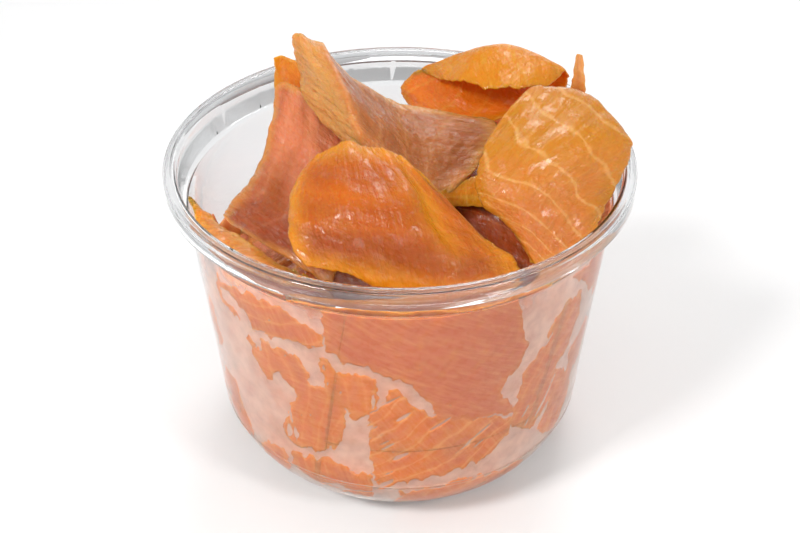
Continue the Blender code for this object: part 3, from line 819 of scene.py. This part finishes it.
# Peak slice: peach and gold on its left flank, white fibres along its ridge, and pinkish
# brown on its right flank.
peak_flesh = salmon("sliced_salmon_long_fibres", "CE7E3C", "A65A28", "DEA254", "E8B47C", bump=0.9,
                    coat=0.3, fibre_share=0.16)
top_slice("peak_slice", peak_flesh, 3000, lean=70, ridges=0.16, fat=0.3, grow=(2, 1, 3, 0),
          shape=lambda s, t: 1.4 * np.exp(-np.abs(s - 0.28) / 0.04) * smooth_step(0, 0.3, t),
          paint=lambda s, t: (0.75 * smooth_step(0.26, 0.34, s) * smooth_step(0.1, 0.4, t) - 0.1,
                              0.75 * smooth_step(0.3, 0.24, s)))

# Left slice: pink flesh from the inside of a side, cut across its fibres. It is darker
# towards its foot, where it lies on the pile.
pink_flesh = salmon("sliced_salmon_pink", "D67E54", "9C4012", "D89440", "F0BC9A")
top_slice("left_slice", pink_flesh, 4000, lean=75, gold_in=3.0, fat=0.15, grow=(0, 10, 0, 3),
          paint=lambda s, t: (1.1 * smooth_step(0.75, 0.0, t) - 0.2, 0 * t))

# Back flap and curled slice: thin golden flesh from the smoked outside, cut so thin that
# light passes through. The curled one rolls forward over itself.
gold_flesh = salmon("sliced_salmon_thin_gold", "E88E1C", "E07218", "D08400", "F0C060", see_through=0.004)
top_slice("back_flap", gold_flesh, 5000, thick=1.0, fat=0.2, grow=(0, 6, 6, 0))
top_slice("curled_slice", gold_flesh, 6000, thick=1.2, lean=60, gold_in=4.0, fat=0.35,
          paint=lambda s, t: (0.5 * smooth_step(0.7, 0.4, t), 1.3 * smooth_step(0.5, 0.75, t)))

# Right slice: the broad leaf with the clearest fat lines, golden towards its top. It leans
# on the rim and the band at the right.
leaf_flesh = salmon("sliced_salmon_with_fat_lines", "CE8028", "CC7430", "C48008", "F2C07C", fat_gap=6.6)
top_slice("right_slice", leaf_flesh, 7000, lean=-43, crumple=0.7, fat=0.8, gold_in=6.0,
          paint=lambda s, t: (0.5 * smooth_step(0.4, 0.0, t), 1.2 * smooth_step(0.5, 0.9, t)))

# Inner slice, tip, strip and base slice: parts of slices between the large ones. A thin
# golden fold of the inner slice stands up in the gap beside the peak. The inner slice's dark
# red-brown is painted shade, deepest towards its upper edge, for the dark hole it lies in.
# its deep colour 5E1404 is painted shade for the hole between the slices, not the flesh's own colour
shade_painted_flesh = salmon("sliced_salmon_red_with_painted_shade", "B8541C", "5E1404", "C46C1C", "DC9464")
# paint darkens the slice towards its upper edge: painted shade
top_slice("inner_slice", shade_painted_flesh, 8000, gold_in=1.0, grow=(6, 4, 3, 4),
          paint=lambda s, t: (1.3 * smooth_step(0.35, 0.75, t) - 0.2, 0 * s))
top_slice("inner_fold", gold_flesh, 12000, thick=0.9, ragged=0.4, crumple=0.3, curl=0.3,
          part_of="inner_slice")
top_slice("back_tip", peak_flesh, 9000, thick=1.0, ragged=0.4, corner=0.02, crumple=0.3,
          curl=0.2)
top_slice("rim_strip", leaf_flesh, 10000, ragged=0.7, crumple=0.5, curl=0.5)
top_slice("base_slice", brown_flesh, 11000, crumple=0.6, gold_in=2.0, grow=(9, 10, 3.3, 2),
          paint=lambda s, t: (0.5 + 0 * s, 0 * s))

# Table top, light and camera: a plain white laminate studio table under soft light, with
# one stronger softbox at the front left so that the wet flesh glints.
TABLE_SIZE = 6.0
bpy.ops.mesh.primitive_plane_add(size=TABLE_SIZE)
table = bpy.context.object
table.name = "table_top"
white, tree = new_material("white_laminate")
mottle = node(tree, "ShaderNodeTexNoise", {"Scale": 40.0})
pale = node(tree, "ShaderNodeMix", {0: mottle.outputs[0], 6: linear("FAFAFA"), 7: linear("FDFDFD")},
            data_type="RGBA")
surface = node(tree, "ShaderNodeBsdfPrincipled", {"Base Color": pale.outputs[2], "Roughness": 0.6})
node(tree, "ShaderNodeOutputMaterial", {0: surface.outputs[0]})
table.data.materials.append(white)
table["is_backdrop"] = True

world = bpy.data.worlds.new("studio")
bpy.context.scene.world = world
world.use_nodes = True
tree = world.node_tree
tree.nodes.clear()
direction = node(tree, "ShaderNodeTexCoord")
rise = node(tree, "ShaderNodeSeparateXYZ", {0: direction.outputs["Generated"]})
brightness = node(tree, "ShaderNodeMapRange", {"Value": rise.outputs["Z"], "From Min": 0.0, "From Max": 0.6,
                                               "To Min": 0.9, "To Max": 0.38})
walls = node(tree, "ShaderNodeBackground", {"Color": (1, 1, 1, 1), "Strength": brightness.outputs[0]})
node(tree, "ShaderNodeOutputWorld", {0: walls.outputs[0]})

# softboxes: place in metres, width and depth, power in watts
SOFTBOXES = [
    ((-0.40, -0.35, 0.65), (0.16, 0.16), 3.1),
    ((0.45, -0.40, 0.55), (0.14, 0.2), 1.4),
    ((0.1, 0.40, 0.70), (0.3, 0.2), 1.5),
    ((0.0, -0.85, 0.30), (0.5, 0.3), 1.2),
    ((0.15, 0.80, 0.35), (0.4, 0.3), 0.8),
]
LIGHT_AIM = 0.06          # height that they point at
for place, size, power in SOFTBOXES:
    light = bpy.data.lights.new("softbox", "AREA")
    light.shape = "RECTANGLE"
    light.size, light.size_y = size
    light.energy = power
    lamp = bpy.data.objects.new("softbox", light)
    bpy.context.scene.collection.objects.link(lamp)
    lamp.location = place
    aim = lamp.location.copy()
    aim.z -= LIGHT_AIM
    lamp.rotation_euler = aim.to_track_quat("Z", "Y").to_euler()

bpy.context.scene.view_settings.view_transform = "Standard"
CAMERA_REACH = 0.350
CAMERA_RISE = math.radians(36.07)
AIM_HEIGHT = 0.0489
LENS = 59.7
view = bpy.data.cameras.new("camera")
view.lens = LENS
view.sensor_width = 36.0
view.clip_start = 0.01
camera = bpy.data.objects.new("camera", view)
camera.location = (0, -CAMERA_REACH * math.cos(CAMERA_RISE),
                   AIM_HEIGHT + CAMERA_REACH * math.sin(CAMERA_RISE))
camera.rotation_euler = (math.pi / 2 - CAMERA_RISE, 0, 0)
bpy.context.scene.collection.objects.link(camera)
bpy.context.scene.camera = camera

low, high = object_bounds()
